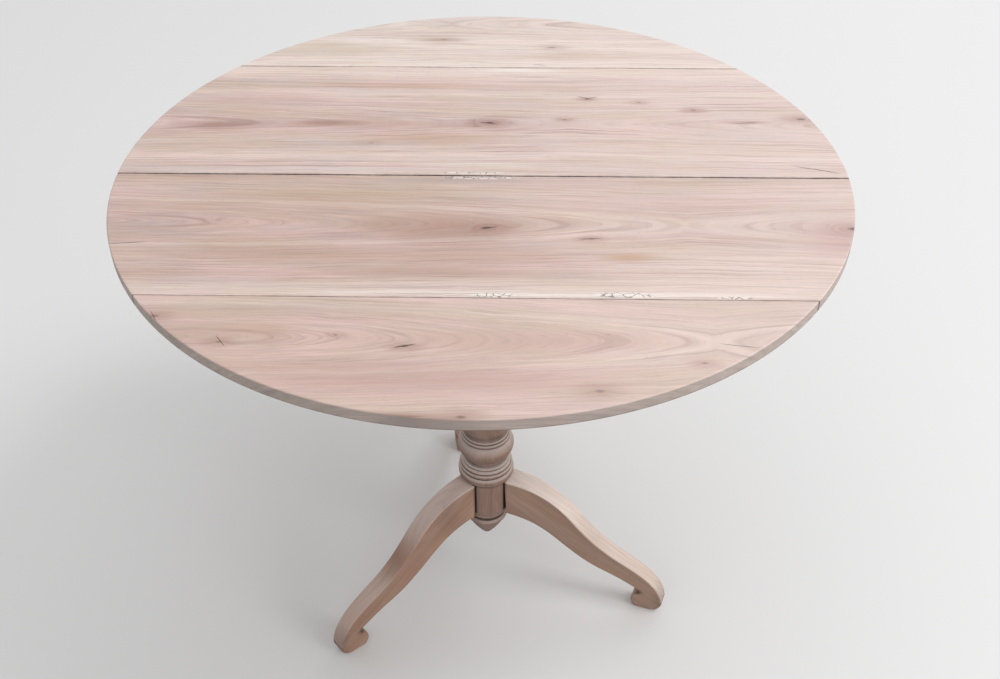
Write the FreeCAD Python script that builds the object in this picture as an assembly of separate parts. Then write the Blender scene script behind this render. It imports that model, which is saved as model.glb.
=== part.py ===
"""Round pedestal table with a tilting top, in millimetres.

Frame: +Z up, origin on the floor under the centre of the top. The top's boards run along X.
The base is one turned column with three dovetailed scroll-foot legs and a turned drop under it.
The column's round tenon is wedged in a square block. Two round pins in the block's ends carry the
two bearers that are screwed across the underside of the boards, so the front edge of the top lifts
and the whole top turns about the pins until it hangs upright against the block's back face.
A brass slide bolt under the front of the top shoots into a mortise in the block and locks it flat.
"""

import FreeCAD
import Part
import math
import os

V = FreeCAD.Vector
UP = V(0, 0, 1)
AXIS_X = V(1, 0, 0)

# ---- driving dimensions ----
top_radius = 470.0
top_height = 750.0
top_thickness = 20.0
rim_thickness = 15.0
rim_bevel_width = 45.0
rim_ease = 1.5
seam_places = (-270.0, -11.0, 292.0)
seam_gaps = (0.4, 0.8, 0.4)

bearer_width = 36.0
bearer_depth = 38.0
bearer_length = 760.0
bearer_end_depth = 13.0
bearer_end_taper = 95.0
bearer_screw_places = (-330.0, -200.0, -70.0, 140.0, 250.0, 345.0)

block_half_width = 95.0
block_depth = 44.0
block_chamfer = 9.0
tilt_gap = 0.4
side_gap = 1.0

pin_radius = 9.0
pin_clearance = 0.1
pin_set_in_block = 38.0
tenon_radius = 22.0
wedge_top_width = 5.0
wedge_bottom_width = 1.6
wedge_length = 30.0

leg_angles = (101.0, 221.4, 340.4)
shoulder_radius = 37.0
leg_width_at_column = 35.0
leg_width_at_foot = 25.0
leg_foot_radius = 301.0
shoulder_gap = 0.3
open_joint_leg = 3
open_joint_gap = 3.2
key_neck = 8.0
key_root = 11.0
key_root_radius = 20.0
key_fit = 0.15
key_top = 203.0

column_bottom = 144.0
column_body_radius = 39.0
spigot_radius = 9.0
spigot_length = 30.0

bolt_travel = 12.0
bolt_width = 10.0
bolt_height = 5.0
bolt_length = 78.0
bolt_fit = 0.2
catch_plate_thickness = 2.0
catch_plate_width = 40.0
catch_plate_length = 76.0
guide_wall = 3.0
guide_breadth = 8.0

# ---- places worked out from them ----
underside = top_height - top_thickness
pin_offset = bearer_depth / 2
pin_height = underside - pin_offset
pin_place = block_half_width - pin_offset
block_reach = pin_offset - tilt_gap
block_top = pin_height + block_reach
block_back = pin_place + block_reach
block_bottom = block_top - block_depth
bearer_inner = block_half_width + side_gap
bolt_level = underside - catch_plate_thickness - bolt_fit - bolt_height / 2
bolt_tip = -block_half_width - 3.0
catch_front = -block_half_width - 5.0 - catch_plate_length
knob_place = bolt_tip - 46.0
guide_places = (knob_place - 20.0, knob_place + 28.0)


def box(x0, x1, y0, y1, z0, z1):
    return Part.makeBox(x1 - x0, y1 - y0, z1 - z0, V(x0, y0, z0))


def cylinder(radius, length, base, direction=UP):
    return Part.makeCylinder(radius, length, base, direction)


def line(a, b):
    return Part.LineSegment(a, b).toShape()


def arc(a, through, b):
    return Part.Arc(a, through, b).toShape()


def curve(points, start, end):
    """A smooth curve through the points, with the end directions given."""
    spline = Part.BSplineCurve()
    spline.interpolate(Points=points, InitialTangent=start, FinalTangent=end)
    return spline.toShape()


def turned(steps):
    """A solid of revolution. Each step is a point (radius, height), or a pair of points for an arc."""
    edges = []
    here = V(steps[0][0], 0, steps[0][1])
    for step in steps[1:]:
        if isinstance(step[0], tuple):
            through, there = (V(p[0], 0, p[1]) for p in step)
            edges.append(arc(here, through, there))
        else:
            there = V(step[0], 0, step[1])
            edges.append(line(here, there))
        here = there
    edges.append(line(here, V(steps[0][0], 0, steps[0][1])))
    return Part.Face(Part.Wire(edges)).revolve(V(0, 0, 0), UP, 360)


def wood_screw(head_radius, shank_radius, length):
    """A slotted countersunk screw pointing up, its head's face at height 0."""
    head_depth = head_radius - shank_radius
    steps = [
        (0, 0),
        (head_radius, 0),
        (head_radius, 0.4),
        (shank_radius, head_depth + 0.4),
        (shank_radius, length - 5.0),
        (0.4, length),
        (0, length),
    ]
    slot = box(-head_radius, head_radius, -0.6, 0.6, -1, 1.2)
    return turned(steps).cut(slot)


def screw_hole(head_radius, shank_radius, length):
    """The space that a wood_screw of the same sizes needs, with a little room all round."""
    room = 0.1
    steps = [
        (0, -60),
        (head_radius + room, -60),
        (head_radius + room, 0.4 + room),
        (shank_radius + room, head_radius - shank_radius + 0.4 + room),
        (shank_radius + room, length + room),
        (0, length + room),
    ]
    return turned(steps)


def along_y(shape):
    """Turns a shape that points up so that it points along +Y."""
    return shape.rotated(V(0, 0, 0), AXIS_X, -90)


# ---- the top ----
def disc():
    """The whole top: flat above, eased at the rim, bevelled towards the rim below."""
    rim_low = top_height - rim_thickness
    return turned(
        [
            (0, underside),
            (top_radius - rim_bevel_width, underside),
            (top_radius - rim_ease, rim_low),
            (top_radius, rim_low + rim_ease),
            (top_radius, top_height - rim_ease),
            (top_radius - rim_ease, top_height),
            (0, top_height),
        ]
    )


def bearer_screws(side):
    """The screws that hold one bearer, each with the hole it needs, as (screw, hole) pairs."""
    x = side * (bearer_inner + bearer_width / 2)
    pairs = []
    for y in bearer_screw_places:
        end = bearer_length / 2 - abs(y)
        slope = (bearer_depth - bearer_end_depth) / bearer_end_taper
        depth = bearer_end_depth + slope * min(end, bearer_end_taper)
        sunk = max(depth - 22.0, 1.0)
        place = V(x, y, underside - depth + sunk)
        length = depth - sunk + 14.0
        screw = wood_screw(4.2, 2.2, length)
        screw.translate(place)
        hole = screw_hole(4.2, 2.2, length)
        hole.translate(place)
        pairs.append((screw, hole))
    return pairs


def catch_screws():
    """The four screws of the bolt's plate, as (screw, hole) pairs."""
    x = catch_plate_width / 2 - 5.0
    pairs = []
    for y in (catch_front + 6.0, catch_front + catch_plate_length - 6.0):
        for side in (-1, 1):
            place = V(side * x, y, underside - catch_plate_thickness)
            screw = wood_screw(3.0, 1.5, 14.0)
            screw.translate(place)
            hole = screw_hole(3.0, 1.5, 14.0)
            hole.translate(place)
            pairs.append((screw, hole))
    return pairs


def boards(holes):
    """The boards from front to back, cut apart at the seams, with the screws' holes."""
    whole = disc()
    edges = [-top_radius - 5] + list(seam_places) + [top_radius + 5]
    gaps = [0] + list(seam_gaps) + [0]
    made = []
    for n in range(len(edges) - 1):
        low = edges[n] + gaps[n] / 2
        high = edges[n + 1] - gaps[n + 1] / 2
        slab = box(
            -top_radius - 5, top_radius + 5, low, high, underside - 5, top_height + 5
        )
        board = whole.common(slab)
        for hole in holes:
            if hole.BoundBox.intersect(board.BoundBox):
                board = board.cut(hole)
        made.append(board)
    return made


def bearer(side, holes):
    """One batten across the boards, its ends tapered below, with the pin's bore and the screw holes."""
    half = bearer_length / 2
    low, end_low = underside - bearer_depth, underside - bearer_end_depth
    inner = side * bearer_inner
    outline = [
        V(inner, -half, underside),
        V(inner, -half, end_low),
        V(inner, -half + bearer_end_taper, low),
        V(inner, half - bearer_end_taper, low),
        V(inner, half, end_low),
        V(inner, half, underside),
        V(inner, -half, underside),
    ]
    solid = Part.Face(Part.makePolygon(outline)).extrude(V(side * bearer_width, 0, 0))
    long_edges = [
        e
        for e in solid.Edges
        if e.BoundBox.XLength < 0.01 and e.BoundBox.ZMax < underside - 0.1
    ]
    solid = solid.makeFillet(2.0, long_edges)
    bore = cylinder(
        pin_radius + pin_clearance,
        2 * bearer_width + 20,
        V(inner - side * 10, pin_place, pin_height),
        V(side, 0, 0),
    )
    solid = solid.cut(bore)
    for hole in holes:
        solid = solid.cut(hole)
    return solid


def catch_plate(holes):
    """The brass plate under the top, with two bridges that guide the bolt."""
    half = catch_plate_width / 2
    low = underside - catch_plate_thickness
    plate = box(
        -half, half, catch_front, catch_front + catch_plate_length, low, underside
    )
    corners = [e for e in plate.Edges if e.BoundBox.ZLength > 1]
    plate = plate.makeFillet(3.0, corners)
    inside = bolt_width / 2 + bolt_fit
    outside = inside + guide_wall
    bridge_low = low - bolt_height - 2 * bolt_fit - guide_wall
    for y in guide_places:
        bridge = box(
            -outside, outside, y, y + guide_breadth, bridge_low, low + 0.5
        )
        rounded = [
            e
            for e in bridge.Edges
            if e.BoundBox.YLength > 1 and e.BoundBox.ZMax < low - 1
        ]
        bridge = bridge.makeFillet(2.4, rounded)
        plate = plate.fuse(bridge)
        plate = plate.cut(
            box(-inside, inside, y - 1, y + guide_breadth + 1, low - bolt_height - 2 * bolt_fit, low)
        )
    for hole in holes:
        plate = plate.cut(hole)
    return plate.removeSplitter()


def catch_bolt():
    """The flat brass bolt, drawn back, with a rounded tip and the hole for its knob's stem."""
    half = bolt_width / 2
    low = bolt_level - bolt_height / 2
    bar = box(-half, half, bolt_tip - bolt_length, bolt_tip, low, low + bolt_height)
    tip = [
        e
        for e in bar.Edges
        if e.BoundBox.YMin > bolt_tip - 0.1 and e.BoundBox.ZLength > 1
    ]
    bar = bar.makeFillet(3.5, tip)
    return bar.cut(
        cylinder(2.05, bolt_height + 2, V(0, knob_place, low - 1))
    )


def catch_knob():
    """The turned knob under the bolt, with its stem riveted into it."""
    low = bolt_level - bolt_height / 2
    knob = turned(
        [
            (0, low - 17),
            ((5.0, low - 15.8), (7.0, low - 11.5)),
            ((5.6, low - 8.2), (3.2, low - 6.5)),
            ((2.6, low - 4.0), (4.2, low - 1.2)),
            (4.2, low),
            (2.0, low),
            (2.0, low + bolt_height),
            (0, low + bolt_height),
        ]
    )
    return knob.translated(V(0, knob_place, 0))


# ---- the block ----
def keep_screws():
    """The two screws of the keep plate in the block's front face, as (screw, hole) pairs."""
    pairs = []
    for side in (-1, 1):
        place = V(side * 13.0, -block_half_width, bolt_level - 1.0)
        screw = along_y(wood_screw(2.4, 1.2, 12.0)).translated(place)
        hole = along_y(screw_hole(2.4, 1.2, 12.0)).translated(place)
        pairs.append((screw, hole))
    return pairs


def keep_opening(front, back):
    """The space that the bolt's end needs in the keep and the block."""
    wide = bolt_width / 2 + 0.6
    tall = bolt_height / 2 + 0.6
    return box(-wide, wide, front, back, bolt_level - tall, bolt_level + tall)


def catch_keep(holes):
    """The brass plate let into the block's front face."""
    high = block_top - 2.0
    plate = box(-18, 18, -block_half_width, -block_half_width + 1.5, high - 13.0, high)
    plate = plate.cut(keep_opening(-block_half_width - 1, -block_half_width + 3))
    for hole in holes:
        plate = plate.cut(hole)
    return plate


def tilt_block(holes):
    """The square block: its upper back edge is rounded about the pins so that the top can turn."""
    half = block_half_width
    block = box(-half, half, -half, block_back, block_bottom, block_top)
    back_edge = [
        e
        for e in block.Edges
        if e.BoundBox.XLength > 10
        and e.BoundBox.YMin > block_back - 1
        and e.BoundBox.ZMin > block_top - 1
    ]
    block = block.makeFillet(block_reach, back_edge)
    low_edges = [
        e
        for e in block.Edges
        if e.BoundBox.ZMax < block_bottom + 0.1
    ]
    block = block.makeChamfer(block_chamfer, low_edges)
    block = block.cut(
        cylinder(tenon_radius, block_depth + 2, V(0, 0, block_bottom - 1))
    )
    for side in (-1, 1):
        hole = cylinder(
            pin_radius,
            pin_set_in_block + 1,
            V(side * (half + 1), pin_place, pin_height),
            V(-side, 0, 0),
        )
        block = block.cut(hole)
    high = block_top - 2.0
    block = block.cut(box(-18, 18, -half - 1, -half + 1.5, high - 13.0, high))
    block = block.cut(keep_opening(-half, -half + bolt_travel + 3.0))
    for hole in holes:
        block = block.cut(hole)
    return block


def pivot_pin(side):
    """A turned hardwood pin, set in the block's end and standing in the bearer's bore."""
    start = side * (block_half_width - pin_set_in_block)
    length = pin_set_in_block + side_gap + bearer_width - 1.0
    pin = cylinder(pin_radius, length, V(start, pin_place, pin_height), V(side, 0, 0))
    ends = [e for e in pin.Edges if e.BoundBox.XLength < 0.01]
    return pin.makeChamfer(0.8, ends)


# ---- the column ----
def wedge_slot():
    """The tapered cut in the tenon's end that the wedge fills."""
    top = block_top - 0.2
    low = top - wedge_length
    outline = [
        V(-wedge_bottom_width / 2, -tenon_radius - 1, low),
        V(wedge_bottom_width / 2, -tenon_radius - 1, low),
        V(wedge_top_width / 2, -tenon_radius - 1, top + 0.01),
        V(-wedge_top_width / 2, -tenon_radius - 1, top + 0.01),
        V(-wedge_bottom_width / 2, -tenon_radius - 1, low),
    ]
    return Part.Face(Part.makePolygon(outline)).extrude(V(0, 2 * tenon_radius + 2, 0))


def tenon_wedge():
    """The hardwood wedge, trimmed round with the tenon."""
    return wedge_slot().common(
        cylinder(tenon_radius, 2 * wedge_length, V(0, 0, block_top - 2 * wedge_length - 0.2))
    )


def dovetail(neck, root, root_radius, low, high, outer):
    """A prism that points along +X from the column's axis: a dovetail up to the shoulder, then straight."""
    outline = [
        V(root_radius, -root, low),
        V(shoulder_radius, -neck, low),
        V(outer, -neck, low),
        V(outer, neck, low),
        V(shoulder_radius, neck, low),
        V(root_radius, root, low),
        V(root_radius, -root, low),
    ]
    return Part.Face(Part.makePolygon(outline)).extrude(V(0, 0, high - low))


def column():
    """The turned column from the leg block up to its tenon."""
    tenon_top = block_top - 0.2
    body = turned(
        [
            (0, column_bottom),
            (column_body_radius - 1.2, column_bottom),
            (column_body_radius, column_bottom + 1.2),
            (column_body_radius, 207.0),
            ((41.8, 208.8), (42.6, 213.6)),
            ((42.4, 219.2), (39.8, 222.0)),
            (38.6, 223.4),
            ((41.0, 224.4), (41.2, 226.6)),
            ((41.0, 229.0), (39.8, 229.8)),
            (38.8, 231.0),
            ((38.8, 233.8), (36.4, 235.8)),
            (34.3, 237.0),
            ((36.2, 238.0), (36.0, 240.2)),
            ((33.2, 243.0), (32.6, 247.6)),
            ((32.8, 250.2), (34.6, 251.8)),
            ((43.2, 268.4), (37.8, 283.8)),
            (35.4, 285.4),
            ((37.4, 286.6), (37.2, 290.2)),
            (34.8, 291.4),
            ((35.8, 293.2), (34.4, 295.6)),
            ((33.6, 300.0), (35.0, 306.0)),
            ((39.6, 342.0), (35.0, 392.0)),
            ((27.2, 468.0), (22.6, 548.0)),
            (25.4, 550.0),
            ((27.6, 553.0), (25.4, 556.0)),
            (22.8, 557.6),
            ((21.8, 561.0), (23.2, 564.0)),
            ((32.4, 573.0), (24.4, 583.0)),
            (22.8, 584.6),
            ((22.0, 588.0), (23.4, 591.0)),
            ((25.6, 622.0), (29.6, 650.0)),
            (27.6, 652.0),
            ((31.6, 655.6), (29.6, 660.0)),
            ((34.0, 668.0), (42.0, block_bottom - 6.0)),
            (42.0, block_bottom),
            (tenon_radius, block_bottom),
            (tenon_radius, tenon_top),
            (0, tenon_top),
        ]
    )
    body = body.cut(wedge_slot())
    body = body.cut(cylinder(spigot_radius, spigot_length + 1, V(0, 0, column_bottom)))
    for angle in leg_angles:
        seat = dovetail(
            key_neck,
            key_root,
            key_root_radius,
            column_bottom - 1,
            key_top,
            shoulder_radius + 1,
        )
        flat = box(shoulder_radius, 60, -30, 30, column_bottom - 1, 207.0)
        cutter = seat.fuse(flat)
        body = body.cut(cutter.rotated(V(0, 0, 0), UP, angle))
    return body


def drop_finial():
    """The turned drop under the column, with the spigot that holds it."""
    return turned(
        [
            (0, 67.2),
            ((6.4, 69.3), (10.0, 74.0)),
            ((21.0, 91.0), (30.4, 110.4)),
            ((32.8, 115.4), (29.4, 119.2)),
            (27.4, 120.2),
            (28.4, 121.4),
            ((30.2, 126.6), (33.6, 130.2)),
            ((34.4, 133.2), (33.2, 135.6)),
            (34.0, 136.6),
            ((36.2, 138.6), (36.4, 141.2)),
            (36.4, column_bottom - 0.1),
            (spigot_radius - 0.1, column_bottom - 0.1),
            (spigot_radius - 0.1, column_bottom + spigot_length - 1),
            (spigot_radius - 1.1, column_bottom + spigot_length),
            (0, column_bottom + spigot_length),
        ]
    )


# ---- the legs ----
def leg_outline():
    """The side view of a leg, pointing along +X: an S down to a toe, a flat sole and a small roll."""
    def at(x, z):
        return V(x, 0, z)

    start = shoulder_radius + shoulder_gap
    toe_top = at(leg_foot_radius, 24)
    heel = at(259, 0)
    sole_end = at(283, 0)
    notch = at(263, 32.5)
    upper = curve(
        [
            at(start, 206.6),
            at(74, 203),
            at(127, 178),
            at(170, 135),
            at(220, 98),
            at(266, 73),
            at(290.5, 50),
            toe_top,
        ],
        V(1, 0, 0),
        V(0.1, 0, -1),
    )
    lower = curve(
        [
            at(259, 43.5),
            at(229, 56),
            at(184, 71),
            at(138, 99),
            at(90, 129.5),
            at(start, 138),
        ],
        V(-0.94, 0, 0.34),
        V(-1, 0, 0.02),
    )
    return Part.Wire(
        [
            upper,
            arc(toe_top, at(296.5, 6.5), sole_end),
            line(sole_end, heel),
            arc(heel, at(251.5, 16), notch),
            line(notch, at(259, 43.5)),
            lower,
            line(at(start, 138), at(start, 206.6)),
        ]
    )


def leg(n):
    """One leg with the dovetail key on its inner end, narrowing in plan towards the foot."""
    wide = leg_width_at_column / 2
    narrow = leg_width_at_foot / 2
    inner, outer = shoulder_radius, leg_foot_radius + 5
    body = Part.Face(leg_outline()).extrude(V(0, leg_width_at_column, 0))
    body.translate(V(0, -wide, 0))
    plan = Part.makePolygon(
        [
            V(inner, -wide, -1),
            V(outer, -narrow, -1),
            V(outer, narrow, -1),
            V(inner, wide, -1),
            V(inner, -wide, -1),
        ]
    )
    body = body.common(Part.Face(plan).extrude(V(0, 0, 240)))
    if n + 1 == open_joint_leg:
        gap = Part.makePolygon(
            [
                V(inner, -30, 206),
                V(inner + shoulder_gap, -30, 206),
                V(inner + shoulder_gap + open_joint_gap, -30, 130),
                V(inner, -30, 130),
                V(inner, -30, 206),
            ]
        )
        body = body.cut(Part.Face(gap).extrude(V(0, 60, 0)))
    key = dovetail(
        key_neck - key_fit,
        key_root - key_fit,
        key_root_radius + key_fit,
        column_bottom,
        key_top - key_fit,
        shoulder_radius + 0.6 + (open_joint_gap if n + 1 == open_joint_leg else 0),
    )
    body = body.fuse(key).removeSplitter()
    return body.rotated(V(0, 0, 0), UP, leg_angles[n])


def main():
    os.makedirs("parts", exist_ok=True)
    left, right = bearer_screws(-1), bearer_screws(1)
    catch = catch_screws()
    keep = keep_screws()
    top_holes = [h for _, h in left + right + catch]

    parts = {}
    for n, board in enumerate(boards(top_holes)):
        parts[f"top_board_{n + 1}"] = board
    parts["left_bearer"] = bearer(-1, [h for _, h in left])
    parts["right_bearer"] = bearer(1, [h for _, h in right])
    parts["bearer_screws"] = Part.makeCompound([s for s, _ in left + right])
    parts["catch_plate"] = catch_plate([h for _, h in catch])
    parts["catch_screws"] = Part.makeCompound([s for s, _ in catch])
    parts["catch_bolt"] = catch_bolt()
    parts["catch_knob"] = catch_knob()
    parts["tilt_block"] = tilt_block([h for _, h in keep])
    parts["catch_keep"] = catch_keep([h for _, h in keep])
    parts["keep_screws"] = Part.makeCompound([s for s, _ in keep])
    parts["left_pivot_pin"] = pivot_pin(-1)
    parts["right_pivot_pin"] = pivot_pin(1)
    parts["column"] = column()
    parts["tenon_wedge"] = tenon_wedge()
    parts["drop_finial"] = drop_finial()
    for n in range(len(leg_angles)):
        parts[f"leg_{n + 1}"] = leg(n)

    for name, shape in parts.items():
        solids = shape.Solids
        good = shape.isValid() and all(s.Volume > 0 for s in solids)
        print(f"{name}: {len(solids)} solid(s), {shape.Volume / 1000:.1f} cm3, valid {good}")
        shape.exportStep(f"parts/{name}.step")


main()
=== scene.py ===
import math

import bmesh
import bpy
import numpy as np
from mathutils import Matrix, Vector


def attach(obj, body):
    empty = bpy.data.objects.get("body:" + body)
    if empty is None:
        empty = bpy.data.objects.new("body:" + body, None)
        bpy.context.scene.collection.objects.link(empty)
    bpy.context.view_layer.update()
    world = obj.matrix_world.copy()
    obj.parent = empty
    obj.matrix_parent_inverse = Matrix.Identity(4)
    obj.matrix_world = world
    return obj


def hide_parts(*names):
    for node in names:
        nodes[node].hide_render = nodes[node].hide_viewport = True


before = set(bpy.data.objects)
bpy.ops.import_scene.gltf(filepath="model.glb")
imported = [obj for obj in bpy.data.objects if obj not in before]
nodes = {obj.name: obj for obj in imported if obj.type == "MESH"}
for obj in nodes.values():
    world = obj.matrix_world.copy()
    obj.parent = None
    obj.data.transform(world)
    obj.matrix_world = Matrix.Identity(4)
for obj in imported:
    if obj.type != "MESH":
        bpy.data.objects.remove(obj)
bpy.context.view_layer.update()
mm = 0.001
print("frame loaded:", len(nodes), "nodes")


def linear(hexText):
    # sRGB hex to the linear colour a shader wants: a straight line near black, a power of 2.4 above it
    parts = [int(hexText[i : i + 2], 16) / 255 for i in (1, 3, 5)]
    return [c / 12.92 if c <= 0.04045 else ((c + 0.055) / 1.055) ** 2.4 for c in parts] + [1.0]


def add(tree, kind, settings=None, inputs=None):
    # one node: settings are its own properties, inputs are values, sockets or nodes for its sockets
    node = tree.nodes.new(kind)
    for key, value in (settings or {}).items():
        setattr(node, key, value)
    for key, value in (inputs or {}).items():
        socket = node.inputs[key]
        if isinstance(value, bpy.types.Node):
            tree.links.new(value.outputs[0], socket)
        elif isinstance(value, bpy.types.NodeSocket):
            tree.links.new(value, socket)
        else:
            socket.default_value = value
    return node


def ramp(tree, source, stops):
    # colour by value: stops are (place, colour or grey)
    node = add(tree, "ShaderNodeValToRGB", None, {0: source})
    elements = node.color_ramp.elements
    while len(elements) < len(stops):
        elements.new(0.5)
    for element, (place, colour) in zip(elements, stops):
        element.position = place
        element.color = linear(colour) if isinstance(colour, str) else (colour, colour, colour, 1)
    return node


def meshObject(name, grids, body, replaced, material, sharpAngle=38.0, marks=None):
    # One mesh of the grids' quads. Each grid is (rows, columns, 3) in mm, closed round its columns. Rows
    # that shrink to a line or a point are merged. marks holds a value per grid point for each attribute.
    points, faces, start = [], [], 0
    for grid in grids:
        rows, columns = grid.shape[:2]
        index = start + np.arange(rows * columns).reshape(rows, columns)
        after = np.roll(index, -1, axis=1)
        quads = np.stack([index[:-1], after[:-1], after[1:], index[1:]], axis=-1).reshape(-1, 4)
        points.append(grid.reshape(-1, 3))
        faces.append(quads)
        start += rows * columns
    points = np.concatenate(points) * mm
    faces = np.concatenate(faces)
    mesh = bpy.data.meshes.new(name)
    mesh.from_pydata(points.tolist(), [], faces.tolist())
    for key, values in (marks or {}).items():
        layer = mesh.attributes.new(key, "FLOAT", "POINT")
        layer.data.foreach_set("value", np.concatenate([v.ravel() for v in values]).astype(np.float32))
    work = bmesh.new()
    work.from_mesh(mesh)
    bmesh.ops.remove_doubles(work, verts=work.verts, dist=2e-6)
    bmesh.ops.dissolve_degenerate(work, edges=work.edges, dist=1e-7)
    if work.calc_volume(signed=True) < 0:
        bmesh.ops.reverse_faces(work, faces=work.faces)
    openEdges = sum(1 for e in work.edges if not e.is_manifold)
    work.to_mesh(mesh)
    work.free()
    mesh.polygons.foreach_set("use_smooth", np.ones(len(mesh.polygons), bool))
    mesh.set_sharp_from_angle(angle=math.radians(sharpAngle))
    piece = bpy.data.objects.new(name, mesh)
    bpy.context.scene.collection.objects.link(piece)
    mesh.materials.append(material)
    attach(piece, body)
    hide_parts(*replaced)
    print(f"{name}: {len(mesh.polygons)} faces, {openEdges} open edges")
    return piece


def softNoise(t, waves):
    # a sum of sines: each wave is (length in mm, size, phase)
    return sum(size * np.sin(2 * np.pi * t / length + phase) for length, size, phase in waves)


def quarterRound(distance, radius):
    # how far a rounded edge drops at this distance inwards: the radius less the circle's height there
    inside = np.clip(radius - distance, 0, radius)
    return radius - np.sqrt(np.maximum(radius**2 - inside**2, 0))


def smoothCurve(points, count, startSlope=None, endSlope=None):
    # cubic spline through the points by chord length, its ends clamped to any direction that is given
    p = np.array(points, float)
    h = np.linalg.norm(np.diff(p, axis=0), axis=1)
    t = np.concatenate([[0], np.cumsum(h)])
    n = len(p)
    system, right = np.zeros((n, n)), np.zeros((n, p.shape[1]))
    middle = np.arange(1, n - 1)
    system[middle, middle - 1] = h[:-1]
    system[middle, middle] = 2 * (h[:-1] + h[1:])
    system[middle, middle + 1] = h[1:]
    slope = np.diff(p, axis=0) / h[:, None]
    right[1:-1] = 6 * (slope[1:] - slope[:-1])
    system[0, 0] = system[-1, -1] = 1
    if startSlope is not None:
        unit = np.array(startSlope, float) / np.linalg.norm(startSlope)
        system[0, :2] = 2 * h[0], h[0]
        right[0] = 6 * (slope[0] - unit)
    if endSlope is not None:
        unit = np.array(endSlope, float) / np.linalg.norm(endSlope)
        system[-1, -2:] = h[-1], 2 * h[-1]
        right[-1] = 6 * (unit - slope[-1])
    bend = np.linalg.solve(system, right)
    s = np.linspace(0, t[-1], count)
    k = np.clip(np.searchsorted(t, s, side="right") - 1, 0, n - 2)
    a, b, w = (t[k + 1] - s)[:, None], (s - t[k])[:, None], h[k][:, None]
    return (
        bend[k] * a**3 / (6 * w)
        + bend[k + 1] * b**3 / (6 * w)
        + (p[k] / w - bend[k] * w / 6) * a
        + (p[k + 1] / w - bend[k + 1] * w / 6) * b
    )


def threePointArc(a, through, b, count):
    # points on the circle through three points, even in angle; its centre is equally far from all three
    a, m, b = (np.array(q, float) for q in (a, through, b))
    d = 2 * (a[0] * (m[1] - b[1]) + m[0] * (b[1] - a[1]) + b[0] * (a[1] - m[1]))
    sa, sm, sb = a @ a, m @ m, b @ b
    centre = np.array(
        [
            (sa * (m[1] - b[1]) + sm * (b[1] - a[1]) + sb * (a[1] - m[1])) / d,
            (sa * (b[0] - m[0]) + sm * (a[0] - b[0]) + sb * (m[0] - a[0])) / d,
        ]
    )
    angles = [math.atan2(*(q - centre)[::-1]) for q in (a, m, b)]
    turn = (angles[2] - angles[0]) % (2 * math.pi)
    if (angles[1] - angles[0]) % (2 * math.pi) > turn:
        turn -= 2 * math.pi
    swept = angles[0] + turn * np.linspace(0, 1, count)
    return centre + np.linalg.norm(a - centre) * np.stack([np.cos(swept), np.sin(swept)], axis=1)


# how many mm one mark of each kind takes along, across and through the grain
grain = {
    "wander": (520, 110, 110),
    "ripple": (85, 24, 24),
    "band": (620, 15, 60),
    "patch": (230, 44, 44),
    "hue": (150, 30, 30),
    "streak": (230, 3.6, 14),
    "fibre": (46, 1.7, 4),
    "pore": (9, 0.55, 1.4),
    "hair": (340, 2.6, 30),
    "fineHair": (150, 1.5, 18),
}


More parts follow.
